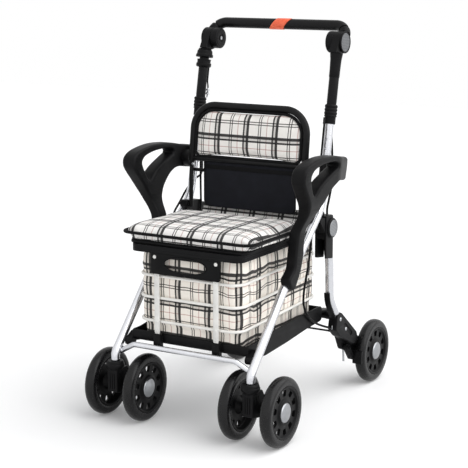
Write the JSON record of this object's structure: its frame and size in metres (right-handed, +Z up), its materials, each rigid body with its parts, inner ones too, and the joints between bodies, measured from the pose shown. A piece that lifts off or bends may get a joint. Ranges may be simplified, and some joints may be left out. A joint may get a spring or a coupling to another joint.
{
  "type": "shopping rollator",
  "caption": "Folding walking cart with a padded seat over a hanging shopping bag, armrests, a lift-to-brake handle and twin front casters.",
  "frame": {"origin": "middle of the footprint at floor level", "axes": "+Z up, -Y the way it travels, +Y towards the user who walks behind it, +X the user's left"},
  "size_m": [0.4742, 0.67, 0.867],
  "materials": {
    "black_fabric": "black woven fabric",
    "black_plastic": "moulded black plastic, fine satin grain",
    "black_tube": "black powder coat, satin",
    "cable": "black cable sheath",
    "check_fabric": null,
    "foam": "closed-cell foam sleeve, matt",
    "grey_cap": "grey textured plastic",
    "orange_band": "retro-reflective orange band",
    "silver_tube": "satin anodised tube",
    "wheel": "grey-black solid tyre on a black hub",
    "white_plastic": "off-white plastic",
    "white_wire": "off-white coated wire"
  },
  "bodies": {
    "main_frame": {"main_tube_left": "silver_tube", "main_tube_right": "silver_tube", "armrest_left": "black_plastic", "armrest_right": "black_plastic", "joint_block_left": "black_plastic", "joint_block_right": "black_plastic", "block_cap_left": "grey_cap", "block_cap_right": "grey_cap", "basket_strap_left": "white_plastic", "basket_strap_right": "white_plastic", "brake_cable_left": "cable", "brake_cable_right": "cable", "lock_cable_left": "cable", "lock_cable_right": "cable", "front_cross_tube": "silver_tube", "backrest_frame": "black_tube", "backrest_cushion": "check_fabric", "crossbar": "black_tube", "pouch": "black_fabric", "seat_rim": "black_plastic", "handle_plate": "black_plastic", "bag": "check_fabric", "hoop_top": "white_wire", "hoop_mid": "white_wire", "hoop_low": "white_wire"},
    "upper_frame": {"upper_tube_left": "black_tube", "upper_tube_right": "black_tube", "tube_head_left": "black_plastic", "tube_head_right": "black_plastic", "pivot_cap_left": "grey_cap", "pivot_cap_right": "grey_cap", "collar_left": "black_plastic", "collar_right": "black_plastic", "release_clamp": "black_plastic", "release_cable": "cable"},
    "handle": {"handle_bar": "black_plastic", "foam_grip": "foam", "reflective_band": "orange_band"},
    "release_slider": {"release_ring": "black_plastic"},
    "seat": {"seat_cushion": "check_fabric", "seat_board": "black_plastic"},
    "rear_frame": {"rear_leg_left": "silver_tube", "rear_leg_right": "silver_tube", "rear_bracket_left": "black_plastic", "rear_bracket_right": "black_plastic", "rear_cross_tube": "black_tube", "tie_rod": "black_tube"},
    "tray": {"bottom_tray": "black_plastic"},
    "button_left": {"collar_button_left": "black_plastic"},
    "rear_wheel_left": {"rear_wheel_left": "wheel"},
    "brake_shoe_left": {"brake_shoe_left": "black_plastic"},
    "caster_left": {"caster_fork_left": "black_plastic"},
    "caster_wheel_left_inner": {"caster_wheel_left_inner": "wheel"},
    "caster_wheel_left_outer": {"caster_wheel_left_outer": "wheel"},
    "button_right": {"collar_button_right": "black_plastic"},
    "rear_wheel_right": {"rear_wheel_right": "wheel"},
    "brake_shoe_right": {"brake_shoe_right": "black_plastic"},
    "caster_right": {"caster_fork_right": "black_plastic"},
    "caster_wheel_right_inner": {"caster_wheel_right_inner": "wheel"},
    "caster_wheel_right_outer": {"caster_wheel_right_outer": "wheel"}
  },
  "joints": [
    {"name": "handle_height", "type": "slide", "parent": "main_frame", "child": "upper_frame", "axis": [0, 0.1925, 0.9813], "range_m": [-0.04, 0.06], "deforming": ["brake_cable_left", "brake_cable_right", "lock_cable_left", "lock_cable_right"]},
    {"name": "brake_lever", "type": "hinge", "parent": "upper_frame", "child": "handle", "pos_m": [0, 0.101, 0.819], "axis": [1, 0, 0], "range_deg": [0, 20], "stiffness_Nm_per_rad": 2, "springref_deg": -14.32},
    {"name": "release_pull", "type": "slide", "parent": "upper_frame", "child": "release_slider", "axis": [0, 0.1925, 0.9813], "range_m": [0, 0.005], "stiffness_N_per_m": 300, "springref_m": -0.002},
    {"name": "seat_lift", "type": "hinge", "parent": "main_frame", "child": "seat", "pos_m": [0, -0.0435, 0.4035], "axis": [-1, 0, 0], "range_deg": [0, 48]},
    {"name": "frame_fold", "type": "hinge", "parent": "main_frame", "child": "rear_frame", "pos_m": [0, 0.043, 0.41], "axis": [-1, 0, 0], "range_deg": [0, 35], "deforming": ["hoop_top", "hoop_mid", "hoop_low", "bag"]},
    {"name": "tray_lift", "type": "hinge", "parent": "main_frame", "child": "tray", "pos_m": [0, -0.269, 0.178], "axis": [1, 0, 0], "range_deg": [0, 15.75]},
    {"name": "button_press_left", "type": "slide", "parent": "upper_frame", "child": "button_left", "axis": [0, -0.9813, 0.1925], "range_m": [0, 0.0025], "stiffness_N_per_m": 250, "springref_m": -0.002},
    {"name": "button_press_right", "type": "slide", "parent": "upper_frame", "child": "button_right", "axis": [0, -0.9813, 0.1925], "range_m": [0, 0.0025], "stiffness_N_per_m": 250, "springref_m": -0.002},
    {"name": "rear_wheel_spin_left", "type": "hinge", "parent": "rear_frame", "child": "rear_wheel_left", "pos_m": [0.184, 0.26, 0.075], "axis": [1, 0, 0], "continuous": true},
    {"name": "rear_wheel_spin_right", "type": "hinge", "parent": "rear_frame", "child": "rear_wheel_right", "pos_m": [-0.184, 0.26, 0.075], "axis": [1, 0, 0], "continuous": true},
    {"name": "brake_press_left", "type": "hinge", "parent": "rear_frame", "child": "brake_shoe_left", "pos_m": [0.161, 0.153, 0.106], "axis": [1, 0, 0], "range_deg": [0, 4.8]},
    {"name": "brake_press_right", "type": "hinge", "parent": "rear_frame", "child": "brake_shoe_right", "pos_m": [-0.161, 0.153, 0.106], "axis": [1, 0, 0], "range_deg": [0, 4.8]},
    {"name": "caster_swivel_left", "type": "hinge", "parent": "main_frame", "child": "caster_left", "pos_m": [0.1706, -0.299, 0.139], "axis": [0, 0, 1], "continuous": true},
    {"name": "caster_wheel_spin_left_inner", "type": "hinge", "parent": "caster_left", "child": "caster_wheel_left_inner", "pos_m": [0.1206, -0.26, 0.075], "axis": [1, 0, 0], "continuous": true},
    {"name": "caster_wheel_spin_left_outer", "type": "hinge", "parent": "caster_left", "child": "caster_wheel_left_outer", "pos_m": [0.2206, -0.26, 0.075], "axis": [1, 0, 0], "continuous": true},
    {"name": "caster_swivel_right", "type": "hinge", "parent": "main_frame", "child": "caster_right", "pos_m": [-0.1706, -0.299, 0.139], "axis": [0, 0, 1], "continuous": true},
    {"name": "caster_wheel_spin_right_inner", "type": "hinge", "parent": "caster_right", "child": "caster_wheel_right_inner", "pos_m": [-0.1206, -0.26, 0.075], "axis": [1, 0, 0], "continuous": true},
    {"name": "caster_wheel_spin_right_outer", "type": "hinge", "parent": "caster_right", "child": "caster_wheel_right_outer", "pos_m": [-0.2206, -0.26, 0.075], "axis": [1, 0, 0], "continuous": true}
  ],
  "couplings": [
    {"joint": "tray_lift", "follows": "frame_fold", "ratio": 0.45},
    {"joint": "brake_press_left", "follows": "brake_lever", "ratio": 0.24},
    {"joint": "brake_press_right", "follows": "brake_lever", "ratio": 0.24}
  ]
}
